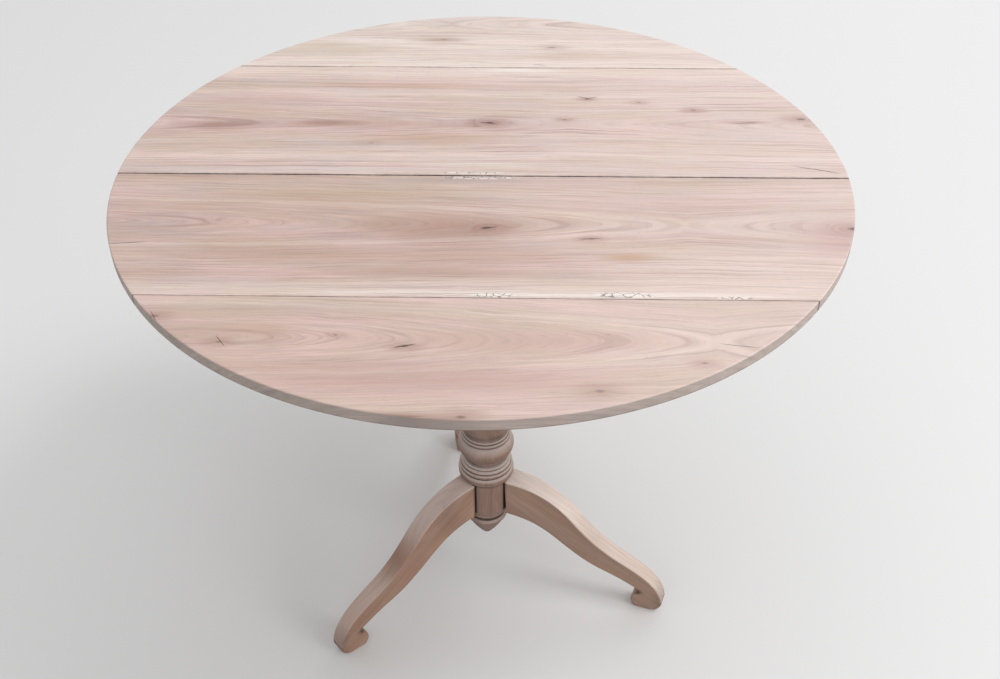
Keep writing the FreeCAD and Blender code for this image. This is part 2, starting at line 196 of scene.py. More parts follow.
def woodMaterial(name, wood):
    # Wood as rings about a slanting heart line: the eye sees straight grain that closes in arches. The
    # distance from the line gives the rings and sapwood bands, noise stretched along the grain gives
    # streaks, fibres and pores, and knots push the rings aside.
    material = bpy.data.materials.new(name)
    material.use_nodes = True
    tree = material.node_tree
    tree.nodes.clear()

    def maths(operation, *values, clamp=False):
        settings = {"operation": operation, "use_clamp": clamp}
        return add(tree, "ShaderNodeMath", settings, dict(enumerate(values)))

    def scaled(vector, factors, offset=(0, 0, 0)):
        # the vector times the factors, plus the offset
        inputs = {0: vector, 1: factors, 2: offset}
        return add(tree, "ShaderNodeVectorMath", {"operation": "MULTIPLY_ADD"}, inputs)

    def noise(vector, lengths, detail=2.0, roughness=0.5, offset=(0, 0, 0)):
        # lengths: how many millimetres one blotch takes along each axis
        place = scaled(vector, [1 / n for n in lengths], offset)
        inputs = {"Vector": place, "Scale": 1.0, "Detail": detail, "Roughness": roughness}
        return add(tree, "ShaderNodeTexNoise", None, inputs).outputs[0]

    def between(value, low, high, outLow=0.0, outHigh=1.0, kind="LINEAR"):
        # outLow below low, outHigh above high, and a slope from one to the other
        inputs = {0: value, 1: low, 2: high, 3: outLow, 4: outHigh}
        return add(tree, "ShaderNodeMapRange", {"interpolation_type": kind}, inputs).outputs[0]

    def mixed(share, under, over, blend="MIX"):
        # this share of the second colour laid over the first
        over = linear(over) if isinstance(over, str) else over
        settings = {"data_type": "RGBA", "blend_type": blend}
        return add(tree, "ShaderNodeMix", settings, {0: share, 6: under, 7: over}).outputs[2]

    place = add(tree, "ShaderNodeTexCoord")
    inMm = scaled(place.outputs["Object"], (1000, 1000, 1000))
    mapping = {"Vector": inMm, "Location": wood["centre"], "Rotation": wood["turn"]}
    turned = add(tree, "ShaderNodeMapping", {"vector_type": "TEXTURE"}, mapping)
    axes = add(tree, "ShaderNodeSeparateXYZ", None, {0: turned})
    x, y, z = axes.outputs
    seed = wood["seed"]

    def spotDistance(spotX, spotY, halfLength, halfWidth):
        # 0 at a spot's middle and 1 on its outline, an ellipse along the grain
        factors = (1 / halfLength, 1 / halfWidth, 0)
        local = scaled(turned, factors, (-spotX / halfLength, -spotY / halfWidth, 0))
        return add(tree, "ShaderNodeVectorMath", {"operation": "LENGTH"}, {0: local}).outputs["Value"]

    # distance from the heart line; it comes close to the face away from archX, and that makes the arches
    wander = noise(turned, grain["wander"], offset=(seed, 0, 0))
    across = maths("MULTIPLY_ADD", wander, wood["wander"], y)
    across = maths("MULTIPLY_ADD", z, 0.8, across)
    ripple = noise(turned, grain["ripple"], 3.0, 0.55, (0, seed, 3))
    across = maths("MULTIPLY_ADD", ripple, wood["ripple"], across)
    across = maths("ADD", across, -wood["heartY"] - (wood["wander"] + wood["ripple"]) / 2)
    fromArch = maths("ABSOLUTE", maths("SUBTRACT", x, wood["archX"]))
    under = maths("MULTIPLY_ADD", fromArch, -wood["archSlope"], wood["archDepth"])
    under = maths("SMOOTH_MAX", under, 30.0, 1800.0)
    ring = maths("SQRT", maths("MULTIPLY_ADD", across, across, under))
    knotHeart = knotHalo = None
    for knotX, knotY, size, push, depth in wood["knots"]:
        away = spotDistance(knotX, knotY, size * 2.2, size)
        ring = maths("ADD", ring, between(away, 0.0, 2.8, push * size, 0.0, "SMOOTHERSTEP"))
        heart = between(away, 0.0, 0.95, depth, 0.0, "SMOOTHERSTEP")
        halo = between(away, 0.4, 4.6, depth * 0.75, 0.0, "SMOOTHSTEP")
        knotHeart = heart if knotHeart is None else maths("MAXIMUM", knotHeart, heart)
        knotHalo = halo if knotHalo is None else maths("MAXIMUM", knotHalo, halo)

    # year rings: pale early wood that ends in a fine dark line
    slowly = {"W": maths("MULTIPLY", ring, 1 / 17), "Scale": 1.0}
    unevenRings = add(tree, "ShaderNodeTexNoise", {"noise_dimensions": "1D"}, slowly)
    uneven = maths("MULTIPLY", unevenRings.outputs[0], 5.0)
    count = maths("MULTIPLY_ADD", ring, 1 / wood["ringWidth"], uneven)
    late = ramp(tree, maths("FRACT", count), [(0.0, 0.0), (0.5, 0.1), (0.84, 0.6), (0.93, 1.0), (1.0, 0.0)])

    along = add(tree, "ShaderNodeCombineXYZ", None, {0: x, 1: ring, 2: z})
    band = noise(along, grain["band"], offset=(seed, seed, 0))
    patch = noise(turned, grain["patch"], 3.0, 0.55, (seed, 0, 0))
    hue = noise(turned, grain["hue"], 3.0, 0.6, (0, seed, 0))
    streak = noise(along, grain["streak"], 3.0, 0.6)
    fibre = noise(along, grain["fibre"], 2.0, 0.7)
    pore = noise(along, grain["pore"], 1.0)
    poreMask = between(pore, 0.63, 0.74)

    # three tints that drift across the board, then light and dark from bands, streaks and fibres
    tints = wood["tints"]
    colour = mixed(between(patch, 0.38, 0.62), linear(tints[0]), tints[1])
    colour = mixed(between(hue, 0.46, 0.68, 0.0, 0.8), colour, tints[2])
    sapStops = [(place / 200, share) for place, share in wood["sap"]]
    colour = mixed(ramp(tree, maths("MULTIPLY", ring, 1 / 200), sapStops), colour, wood["sapwood"])
    tone = maths("MULTIPLY_ADD", band, wood["bandShare"], wood["lightness"] - wood["bandShare"] / 2)
    tone = maths("MULTIPLY_ADD", streak, wood["streakShare"], tone)
    tone = maths("MULTIPLY_ADD", fibre, wood["fibreShare"], tone)
    tone = maths("SUBTRACT", tone, (wood["streakShare"] + wood["fibreShare"]) / 2)
    colour = mixed(1.0, colour, tone, "MULTIPLY")
    # painted light: paler and less yellow towards the right end, where the light falls on the top and gives
    # a sheen
    paintedLightShare = between(x, wood["paintedLightFrom"], wood["paintedLightFrom"] + wood["paintedLightLength"], 0.0, wood["paintedLightShare"])
    colour = mixed(paintedLightShare, colour, wood["pale"])
    for spotX, spotY, halfLength, halfWidth, tint, share in wood["patches"]:
        away = spotDistance(spotX, spotY, halfLength, halfWidth)
        mask = between(away, 0.1, 1.2, share, 0.0, "SMOOTHSTEP")
        streaky = maths("MULTIPLY", mask, between(streak, 0.3, 0.6, 0.45, 1.15), clamp=True)
        colour = mixed(streaky, colour, tint)

    # ring lines, strong in some places and faint in others, and long dark hairs in the grain
    ringShare = wood["ringShare"]
    lineMask = maths("MULTIPLY", late, between(hue, 0.36, 0.62, ringShare, ringShare * 0.25))
    colour = mixed(lineMask, colour, wood["lateWood"])
    hair = noise(along, grain["hair"], 1.0, 0.5, (seed, 7, 0))
    hairShare = wood["hairShare"]
    hairMask = maths("MULTIPLY", between(hair, 0.62, 0.7), between(patch, 0.4, 0.6, hairShare, 0.1))
    fineHair = noise(along, grain["fineHair"], 1.0, 0.5, (seed, 19, 0))
    fineShare = between(band, 0.4, 0.6, hairShare * 0.75, 0.15)
    fineMask = maths("MULTIPLY", between(fineHair, 0.56, 0.66), fineShare)
    colour = mixed(maths("MAXIMUM", hairMask, fineMask), colour, wood["lateWood"])
    colour = mixed(maths("MULTIPLY", poreMask, 0.22), colour, wood["pore"])
    if knotHeart is not None:
        # a knot is a small dark heart in a reddish halo; the streaks break up both
        ragged = between(streak, 0.3, 0.65, 0.3, 1.3)
        colour = mixed(maths("MULTIPLY", knotHalo, ragged, clamp=True), colour, wood["halo"])
        fibrous = maths("MULTIPLY", knotHeart, between(fibre, 0.3, 0.6, 0.5, 1.4), clamp=True)
        colour = mixed(fibrous, colour, wood["knot"])

    # hairline splits: a thin dark line that wavers with the grain
    for startX, endX, startY, endY, width, depth in wood["splits"]:
        slope = (endY - startY) / (endX - startX)
        line = maths("ADD", maths("MULTIPLY_ADD", x, -slope, slope * startX - startY), y)
        line = maths("ABSOLUTE", maths("ADD", line, maths("MULTIPLY_ADD", hue, 7.0, -3.5)))
        middle = maths("ABSOLUTE", maths("SUBTRACT", x, (startX + endX) / 2))
        half = abs(endX - startX) / 2
        ends = between(middle, half * 0.5, half, 1.0, 0.0)
        split = maths("MULTIPLY", between(line, width * 0.4, width, depth, 0.0), ends)
        colour = mixed(split, colour, wood["crack"])

    if wood["flakes"]:
        # filler beside a seam that has cracked into flakes: pale, with fine dark outlines
        flakePlace = {"Vector": scaled(turned, (0.09, 0.17, 0.17)), "Scale": 1.0}
        edges = add(tree, "ShaderNodeTexVoronoi", {"feature": "DISTANCE_TO_EDGE"}, flakePlace)
        outline = between(edges.outputs["Distance"], 0.02, 0.075, 0.7, 0.0)
        for spotX, spotY, halfLength, halfWidth in wood["flakes"]:
            away = maths("MULTIPLY_ADD", hue, 1.6, spotDistance(spotX, spotY, halfLength, halfWidth))
            mask = between(away, 1.45, 1.75, 1.0, 0.0)
            colour = mixed(maths("MULTIPLY", mask, 0.55), colour, wood["filler"])
            colour = mixed(maths("MULTIPLY", mask, outline), colour, wood["crack"])

    if wood["isTop"]:
        # painted shade: the upright rim is darker and greyer than the face; the underside is older and
        # browner still
        height = add(tree, "ShaderNodeSeparateXYZ", None, {0: inMm}).outputs[2]
        rim = mixed(0.5, mixed(1.0, colour, wood["rim"], "MULTIPLY"), wood["rimGrey"])
        rim = mixed(1.0, rim, between(streak, 0.3, 0.7, 0.85, 1.1), "MULTIPLY")
        colour = mixed(between(height, *wood["rimHeights"], 1.0, 0.0), colour, rim)
        below = mixed(1.0, colour, wood["under"], "MULTIPLY")
        colour = mixed(between(height, *wood["underHeights"], 1.0, 0.0), colour, below)

    # lighter where it faces up, partly bleach and partly painted light from above; darker from dirt that
    # the stripping left in the seams between the boards, and from painted shade in the column's grooves,
    # the leg joints, the notches and on faces turned down
    bleachAndLight = add(tree, "ShaderNodeAttribute", {"attribute_name": "bleachAndLight"}).outputs["Fac"]
    colour = mixed(maths("MULTIPLY", bleachAndLight, between(streak, 0.2, 0.7, 0.7, 1.0)), colour, wood["bleachedAndLit"])
    grime = add(tree, "ShaderNodeAttribute", {"attribute_name": "grime"}).outputs["Fac"]
    grimeMask = maths("MULTIPLY", grime, between(patch, 0.3, 0.7, 0.75, 1.2), clamp=True)
    colour = mixed(grimeMask, colour, wood["grime"])

    # relief of fibres, ring lines and pores
    relief = maths("MULTIPLY_ADD", fibre, 0.4, streak)
    relief = maths("MULTIPLY_ADD", poreMask, -0.8, relief)
    relief = maths("MULTIPLY_ADD", late, -0.2, relief)
    bump = add(tree, "ShaderNodeBump", None, {"Strength": 0.3, "Distance": 0.0002, "Height": relief})
    roughness = between(patch, 0.3, 0.7, wood["roughness"] - 0.06, wood["roughness"] + 0.06)
    inputs = {"Base Color": colour, "Roughness": roughness, "Normal": bump}
    inputs.update({"Specular IOR Level": 0.5, "IOR": 1.5})
    shader = add(tree, "ShaderNodeBsdfPrincipled", None, inputs)
    add(tree, "ShaderNodeOutputMaterial", None, {"Surface": shader})
    return material


# Stripped walnut, planed: matt and dry, pinkish to tan, with fine straight streaks along X. Lengths are in
# mm, and each share says how strongly one layer shows.
topWood = {
    "centre": (0, 0, 750),
    "turn": (0, 0, 0),
    "wander": 12.0,
    "ripple": 9.0,
    "ringWidth": 6.5,
    "seed": 3.1,
    "lightness": 1.1,
    "bandShare": 0.2,
    "streakShare": 0.58,
    "fibreShare": 0.5,
    "ringShare": 0.3,
    "hairShare": 0.6,
    "tints": ("#c6aca5", "#b9a290", "#b3a19e"),
    "pale": "#e4d2cc",
    "paintedLightFrom": -200.0,
    "paintedLightLength": 600.0,
    "paintedLightShare": 0.42,
    "sapwood": "#ecdfd4",
    "sap": ((0, 0.0), (60, 0.1), (90, 0.3), (120, 0.1), (150, 0.25)),
    "lateWood": "#9a7d72",
    "pore": "#9b8075",
    "knot": "#5f4a45",
    "halo": "#98736a",
    "crack": "#352a27",
    "rim": "#cdc4ba",
    "rimGrey": "#a4a09e",
    "rimHeights": (748.4, 749.7),
    "under": "#b9a48f",
    "underHeights": (735.2, 737.0),
    "bleachedAndLit": "#cdb7aa",
    "grime": "#3c322f",
    "roughness": 0.6,
    "filler": "#efe8e2",
    "knots": (),
    "patches": (),
    "splits": (),
    "flakes": (),
    "isTop": True,
}
# What is each board's own: its heart line and arches, its knots (x, y, size, push, depth), its patches
# (x, y, half length, half width, tint, share), its splits (start x, end x, start y, end y, width, depth)
# and its flakes of filler (x, y, half length, half width).
boardWoods = {
    "top_board_1": {
        "heartY": -344.0, "archX": 262.0, "archSlope": 8.6, "archDepth": 3700.0, "seed": 7.4,
        "tints": ("#c7aca5", "#bca698", "#bda69f"), "ringShare": 0.16, "hairShare": 0.4,
        "sap": ((0, 0.0), (53, 0.0), (59.0, 0.22), (64, 0.2), (72, 0.04), (84, 0.1), (100, 0.05)),
        "knots": ((-270, -352, 3, 0.8, 0.5), (-147, -338, 2, 0.8, 0.5), (-71, -356, 3, 0.6, 0.85),
                  (-350, -308, 4, 0.8, 0.6), (134, -425, 4, 0.9, 0.45), (245, -379, 3, 0.8, 0.4),
                  (-6, -466, 4, 0.6, 0.7)),
        "patches": ((-60, -408, 280, 34, "#b28b83", 0.5), (30, -345, 200, 24, "#bb938b", 0.35),
                    (-300, -340, 90, 26, "#b6998d", 0.4), (-200, -292, 240, 10, "#bcaaa2", 0.5),
                    (-230, -330, 50, 14, "#c09a7c", 0.35), (-75, -470, 75, 12, "#7b4d36", 0.85)),
        "splits": ((-276, -262, -340, -360, 1.3, 0.75), (-84, -58, -359, -352, 1.3, 0.8),
                   (-357, -345, -298, -318, 1.2, 0.7), (262, 310, -346, -354, 0.9, 0.55)),
    },
    "top_board_2": {
        "heartY": -122.0, "archX": 250.0, "archSlope": 5.0, "archDepth": 2900.0, "seed": 1.7,
        "tints": ("#c3a9a2", "#b8a092", "#b09d99"),
        "sap": ((0, 0.0), (47, 0.0), (52, 0.22), (57, 0.02), (80, 0.15), (110, 0.0), (130, 0.3)),
        "knots": ((10, -130, 5, 1.3, 0.8), (-317, -118, 4, 0.8, 0.3), (452, -126, 6, 2.2, 0.6),
                  (135, -152, 3, 0.6, 0.45)),
        "patches": ((-45, -132, 130, 40, "#a47f70", 0.7), (180, -190, 44, 12, "#b98f6c", 0.75),
                    (-180, -60, 210, 34, "#b8a083", 0.55), (90, -262, 330, 8, "#efe8e1", 0.75),
                    (300, -215, 190, 44, "#e6d4ca", 0.5), (428, -150, 60, 44, "#c6a5a3", 0.6),
                    (-250, -190, 170, 26, "#b38d7d", 0.4), (-30, -24, 130, 9, "#aca19f", 0.6),
                    (250, -70, 190, 26, "#d2b6b0", 0.5), (-60, -222, 160, 14, "#ad8875", 0.4),
                    (-20, -190, 190, 30, "#b38d80", 0.5), (-280, -250, 180, 12, "#cfc0b8", 0.5)),
        "splits": ((-446, -392, -171, -165, 1.0, 0.7), (0, 26, -134, -127, 1.4, 0.7),
                   (434, 472, 22, -14, 1.4, 0.9), (118, 150, -153, -151, 1.1, 0.6)),
        "flakes": ((165, -263, 42, 6), (22, -264, 26, 5), (290, -266, 30, 3), (0, -16, 60, 4)),
    },
    "top_board_3": {
        "heartY": 124.0, "archX": 120.0, "archSlope": 3.0, "archDepth": 2300.0, "seed": 11.3,
        "tints": ("#c9b0aa", "#bea89b", "#bbaaa9"),
        "sap": ((0, 0.0), (50, 0.0), (58, 0.2), (66, 0.0), (95, 0.25), (120, 0.05), (150, 0.4)),
        "knots": ((7, 127, 5, 1.3, 0.85), (142, 196, 2.5, 0.9, 0.7), (215, 187, 2.5, 0.9, 0.5),
                  (289, 165, 3, 1.1, 0.55), (434, 142, 5, 1.2, 0.6), (110, 137, 2.5, 0.8, 0.5),
                  (-150, 70, 3, 0.5, 0.3)),
        "patches": ((-366, 116, 70, 15, "#a07a72", 0.75), (-205, 124, 62, 11, "#967065", 0.75),
                    (-150, 120, 290, 17, "#ad887c", 0.5), (358, 132, 46, 7, "#a98a83", 0.6),
                    (35, 283, 80, 6, "#f0e9e2", 0.85), (-210, 2, 260, 8, "#d2c7c4", 0.7),
                    (-70, 84, 130, 22, "#b89478", 0.5), (-120, 232, 170, 12, "#bf9579", 0.45),
                    (290, 165, 26, 9, "#b98f92", 0.5), (20, 16, 120, 9, "#e4dbd4", 0.6),
                    (330, 60, 150, 30, "#dcc6bc", 0.4), (-330, 190, 120, 40, "#c7a89f", 0.4)),
        "splits": ((128, 151, 206, 193, 1.3, 0.75), (-10, 20, 130, 123, 1.4, 0.7),
                   (398, 464, 20, 0, 1.2, 0.7), (334, 378, 127, 135, 1.3, 0.5),
                   (140, 158, 196, 204, 1.0, 0.7)),
        "flakes": ((-10, -4, 50, 3),),
    },
    "top_board_4": {
        "heartY": 440.0, "archX": -60.0, "archSlope": 3.0, "archDepth": 2400.0, "seed": 5.9,
        "tints": ("#cbbab4", "#c3b4a9", "#c3b6b6"),
        "sap": ((0, 0.1), (60, 0.2), (80, 0.45), (120, 0.25), (150, 0.5)),
        "knots": ((95, 360, 4, 1.0, 0.4), (-70, 385, 4, 0.5, 0.25)),
        "patches": ((-80, 384, 60, 10, "#a98f83", 0.55), (-250, 350, 130, 30, "#c2b19c", 0.5),
                    (120, 330, 120, 14, "#cbb39f", 0.5)),
        "splits": ((66, 86, 303, 300, 1.0, 0.6), (84, 106, 361, 359, 1.2, 0.55)),
    },
}

# The top's four boards, in mm. Each seam has its place, its gap, the round of its worn edges, and its dirt.
top = {
    "radius": 469.9,
    "height": 749.9,
    "underside": 730.0,
    "rimLow": 735.0,
    "bevelWidth": 45.0,
    "rimRound": 1.7,
    "hollow": 0.16,
    "seams": (-270.0, -11.0, 292.0),
    "gaps": (0.3, 1.1, 0.36),
    "seamRound": (0.4, 0.8, 0.5),
    "seamDirt": (0.2, 0.5, 0.25),
    "step": 2.6,
}


def boardLoops(front, back, insets, counts):
    # Plan outline of a board at each inset: front seam, right arc, back seam, left arc, each cut evenly.
    # The arcs' radius and the seams both move in by the inset.
    d = np.array(insets)[:, None]
    radius = top["radius"] - d
    low, high = np.maximum(front + d, -radius), np.minimum(back - d, radius)
    lowAngle, highAngle = np.arcsin(np.clip(low / radius, -1, 1)), np.arcsin(np.clip(high / radius, -1, 1))
    frontCount, backCount, arcCount = counts
    f, b, a = (np.arange(n)[None] / n for n in (frontCount, backCount, arcCount))
    lowHalf, highHalf = radius * np.cos(lowAngle), radius * np.cos(highAngle)
    right = lowAngle + (highAngle - lowAngle) * a
    left = math.pi - highAngle + (highAngle - lowAngle) * a
    rightX, leftX = radius * np.cos(right), radius * np.cos(left)
    xs = np.concatenate([lowHalf * (2 * f - 1), rightX, highHalf * (1 - 2 * b), leftX], axis=1)
    ys = np.concatenate([low + 0 * f, radius * np.sin(right), high + 0 * b, radius * np.sin(left)], axis=1)
    return xs, ys


def boardSurface(front, back, rounds, dirt, phase):
    # A board is its plan outline drawn at many insets, from the middle line out over the face, down the
    # edge and back under to the middle line. The face falls at the rim and the seams by a quarter round.
    radius = top["radius"]
    deepest = (min(back, radius) - max(front, -radius)) / 2
    fine = [0, 0.12, 0.3, 0.55, 0.9, 1.4, 2.2, 3.6, 6.0, 10.0]
    broad = np.linspace(16.0, deepest, max(int((deepest - 16) / 8), 3))
    insets = np.concatenate([fine, broad])
    arcLength = radius * (math.asin(min(back / radius, 1)) - math.asin(max(front / radius, -1)))
    seamCount = int(2 * radius / top["step"])
    hasFront, hasBack = front > -radius, back < radius
    counts = (seamCount if hasFront else 2, seamCount if hasBack else 2, int(arcLength / top["step"]))
    xs, ys = boardLoops(front, back, insets, counts)
    r = np.hypot(xs, ys)
    fromFront = ys - front if hasFront else ys * 0 + radius
    fromBack = back - ys if hasBack else ys * 0 + radius
    # seams that were worn and chipped: the edge's round grows and shrinks along the seam
    worn = 1 + 0.5 * softNoise(xs, [(61, 0.6, phase), (23, 0.4, 2 * phase), (9.5, 0.3, phase + 1)])
    drop = quarterRound(radius - r, top["rimRound"])
    drop = drop + quarterRound(fromFront, rounds[0] * np.clip(worn, 0.4, 2.0))
    drop = drop + quarterRound(fromBack, rounds[1] * np.clip(worn, 0.4, 2.0))
    swell = softNoise(xs, [(640, 0.4, phase), (260, 0.2, 1.3 * phase)]) * np.sin(ys / 60 + phase)
    hollow = top["hollow"] * (1 + swell) / 1.6
    faceHeight = top["height"] - drop - hollow * np.clip((radius - r) / 20, 0, 1)
    bevel = np.clip((r - radius + top["bevelWidth"]) / top["bevelWidth"], 0, 1)
    lowHeight = top["underside"] + (top["rimLow"] - top["underside"]) * bevel
    lowHeight = lowHeight + quarterRound(np.minimum(radius - r, np.minimum(fromFront, fromBack)), 1.0)
    face = np.stack([xs, ys, faceHeight], axis=-1)[::-1]
    lowEdge = np.stack([xs[0], ys[0], lowHeight[0]], axis=-1)
    wall = [face[-1] + (lowEdge - face[-1]) * t for t in (0.25, 0.5, 0.75)]
    keep = np.unique(np.append(np.arange(0, len(insets), 2), len(insets) - 1))
    below = np.stack([xs, ys, lowHeight], axis=-1)[keep]
    grid = np.concatenate([face, np.stack(wall), below])
    # old dirt in the seams: solid between the boards, thinning out over the first millimetres of the face
    waves = [(180, 0.5, phase), (47, 0.3, 3 * phase), (13, 0.2, phase)]
    patchy = 0.6 + 0.5 * softNoise(grid[..., 0], waves)
    grime = 0
    for edge, share, side in ((front, dirt[0], 1), (back, dirt[1], -1)):
        if abs(edge) < radius:
            off = np.maximum((grid[..., 1] - edge) * side, 0)
            solid = np.exp(-((off / (0.2 + 0.5 * share)) ** 2)) * np.clip(0.4 + share + 0.4 * patchy, 0, 1)
            grime = grime + solid + share * patchy * np.exp(-off / 2.2)
    return grid, np.clip(grime, 0, 1)


seamEdges = [-top["radius"] - 1] + list(top["seams"]) + [top["radius"] + 1]
seamGaps = (0,) + top["gaps"] + (0,)
seamRounds = (0.5,) + top["seamRound"] + (0.5,)
seamDirt = (0,) + top["seamDirt"] + (0,)
for n, name in enumerate(boardWoods):
    front, back = seamEdges[n] + seamGaps[n] / 2, seamEdges[n + 1] - seamGaps[n + 1] / 2
    grid, grime = boardSurface(front, back, seamRounds[n : n + 2], seamDirt[n : n + 2], 1.7 * n + 0.4)
    wood = woodMaterial(f"walnutStrippedPlaned{n + 1}", {**topWood, **boardWoods[name]})
    meshObject(f"board_{n + 1}", [grid], "top", [name], wood, marks={"grime": [grime]})
print("boards made")

# the column's turned outline from the bottom up: (radius, height) steps, and arcs as (through, end)
column = {
    "shoulderRadius": 37.0,
    "shoulderTop": 207.0,
    "legAngles": (101.0, 221.4, 340.4),
    "jointReach": 28.5,
    "segments": 144,
    "steps": [
        (0, 144.0), (37.8, 144.0), (39.0, 145.2), (39.0, 206.9), (39.0, 207.0),
        ((41.8, 208.8), (42.6, 213.6)), ((42.4, 219.2), (39.8, 222.0)), (38.6, 223.4),
        ((41.0, 224.4), (41.2, 226.6)), ((41.0, 229.0), (39.8, 229.8)), (38.8, 231.0),
        ((38.8, 233.8), (36.4, 235.8)), (34.3, 237.0), ((36.2, 238.0), (36.0, 240.2)),
        ((33.2, 243.0), (32.6, 247.6)), ((32.8, 250.2), (34.6, 251.8)), ((43.2, 268.4), (37.8, 283.8)),
        (35.4, 285.4), ((37.4, 286.6), (37.2, 290.2)), (34.8, 291.4), ((35.8, 293.2), (34.4, 295.6)),
        ((33.6, 300.0), (35.0, 306.0)), ((39.6, 342.0), (35.0, 392.0)), ((27.2, 468.0), (22.6, 548.0)),
        (25.4, 550.0), ((27.6, 553.0), (25.4, 556.0)), (22.8, 557.6), ((21.8, 561.0), (23.2, 564.0)),
        ((32.4, 573.0), (24.4, 583.0)), (22.8, 584.6), ((22.0, 588.0), (23.4, 591.0)),
        ((25.6, 622.0), (29.6, 650.0)), (27.6, 652.0), ((31.6, 655.6), (29.6, 660.0)),
        ((34.0, 668.0), (42.0, 679.6)), (42.0, 685.6), (22.0, 685.6), (22.0, 729.1), (0, 729.1),
    ],
}
# the drop below it, with the dowel that holds it
drop = {
    "segments": 112,
    "steps": [
        (0, 67.2), ((6.4, 69.3), (10.0, 74.0)), ((21.0, 91.0), (30.4, 110.4)),
        ((32.8, 115.4), (29.4, 119.2)), (27.4, 120.2), (28.4, 121.4), ((30.2, 126.6), (33.6, 130.2)),
        ((34.4, 133.2), (33.2, 135.6)), (34.0, 136.6), ((36.2, 138.6), (36.4, 141.2)), (36.4, 143.9),
        (8.9, 143.9), (8.9, 173.0), (7.9, 174.0), (0, 174.0),
    ],
}
# reach is how many outline points the average takes in each way, depth is how many mm below it a groove
# gets the full painted shade, and share and below are how dark the painted shade gets in grooves and on
# downward faces
grooveShade = {"reach": 6, "depth": 0.42, "share": 0.95, "below": 0.55}


def profile(steps):
    # the turned outline: straight steps and three-point arcs, cut every millimetre or so
    runs = [np.array([steps[0]], float)]
    here = steps[0]
    for step in steps[1:]:
        isArc = isinstance(step[0], tuple)
        there = step[1] if isArc else step
        length = math.dist(here, there)
        count = int(min(max(length / 1.1, 2), 48)) + (8 if isArc else 0)
        if isArc:
            runs.append(threePointArc(here, step[0], there, count)[1:])
        else:
            share = np.linspace(0, 1, count)[1:, None]
            runs.append(np.array(here) * (1 - share) + np.array(there) * share)
        here = there
    return np.concatenate(runs)


def turnedSurface(steps, segments, flats=None):
    # radius and height from the outline, carried round the Z axis, very slightly oval as wood dries
    outline = profile(steps)
    angle = np.arange(segments) * 2 * np.pi / segments
    r = outline[:, :1] * (1 + 0.004 * np.cos(2 * angle + 0.7)[None]) - 0.1
    r = np.maximum(r, 0) * (outline[:, :1] > 0)
    z = np.repeat(outline[:, 1:], segments, axis=1)
    if flats:
        for direction in flats["legAngles"]:
            off = np.cos(angle - math.radians(direction))[None]
            seat = np.where(off > 0.6, flats["shoulderRadius"] / np.maximum(off, 0.6), 1e3)
            r = np.where(z <= flats["shoulderTop"] - 0.05, np.minimum(r, seat), r)
    # painted shade: darker where the outline dips under its own average, and a little darker where the wood
    # faces down
    reach = grooveShade["reach"]
    span = np.interp(np.arange(-reach, reach + 1), [-reach, 0, reach], [0.2, 1, 0.2])
    padded = np.pad(outline[:, 0], reach, mode="edge")
    average = np.convolve(padded, span / span.sum(), mode="valid")
    dip = grooveShade["share"] * np.clip((average - outline[:, 0]) / grooveShade["depth"], 0, 1) ** 0.9
    # lighter where the wood faces up: partly bleach and partly painted light from above
    step = np.gradient(outline, axis=0)
    facing = -step[:, 0] / np.maximum(np.hypot(step[:, 0], step[:, 1]), 1e-6)
    upward = np.clip(facing, 0, 1)
    spread = np.ones((1, segments))
    grime = np.maximum(dip, grooveShade["below"] * np.clip(-facing, 0, 1))[:, None] * spread
    if flats:
        # painted shadow: dark where the legs' shoulders meet the column
        for direction in flats["legAngles"]:
            off = np.abs((angle - math.radians(direction) + math.pi) % (2 * math.pi) - math.pi)
            joint = np.clip((math.radians(flats["jointReach"]) - off) / math.radians(2.5), 0, 1)[None]
            grime = np.where(z < flats["shoulderTop"], np.maximum(grime, joint), grime)
    grid = np.stack([r * np.cos(angle), r * np.sin(angle), z], axis=-1)
    return grid, grime, upward[:, None] * spread


# Stripped walnut, turned: browner than the top, with painted shade near black in the grooves, and pale lips
# that are partly worn and partly painted light from above.
baseWood = {
    **topWood,
    "centre": (0, 0, 300),
    "turn": (0, -math.pi / 2, 0),
    "heartY": 60.0, "archX": 0.0, "archSlope": 2.0, "archDepth": 900.0, "seed": 2.2,
    "wander": 14.0,
    "ringWidth": 6.0,
    "lightness": 0.97,
    "bandShare": 0.3,
    "streakShare": 0.45,
    "fibreShare": 0.4,
    "halo": "#6f5045",
    "tints": ("#825f50", "#75543f", "#735850"),
    "bleachedAndLit": "#d6c8c1",
    "paintedLightShare": 0.0,
    "sapwood": "#c4aea0",
    "lateWood": "#6f564b",
    "grime": "#1d110d",
    "roughness": 0.62,
    "isTop": False,
}
columnWood = woodMaterial("walnutStrippedTurned", baseWood)
grid, grime, bleachAndLight = turnedSurface(column["steps"], column["segments"], column)
marks = {"grime": [grime], "bleachAndLight": [bleachAndLight]}
meshObject("turned_column", [grid], "base", ["column"], columnWood, marks=marks)
# the drop gets a duller painted light than the column where it faces up
dropWood = woodMaterial("walnutStrippedDrop", {**baseWood, "seed": 8.8, "bleachedAndLit": "#bcaaa1"})
grid, grime, bleachAndLight = turnedSurface(drop["steps"], drop["segments"])
marks = {"grime": [grime], "bleachAndLight": [bleachAndLight]}
meshObject("turned_drop", [grid], "base", ["drop_finial"], dropWood, marks=marks)
print("turned pieces made")

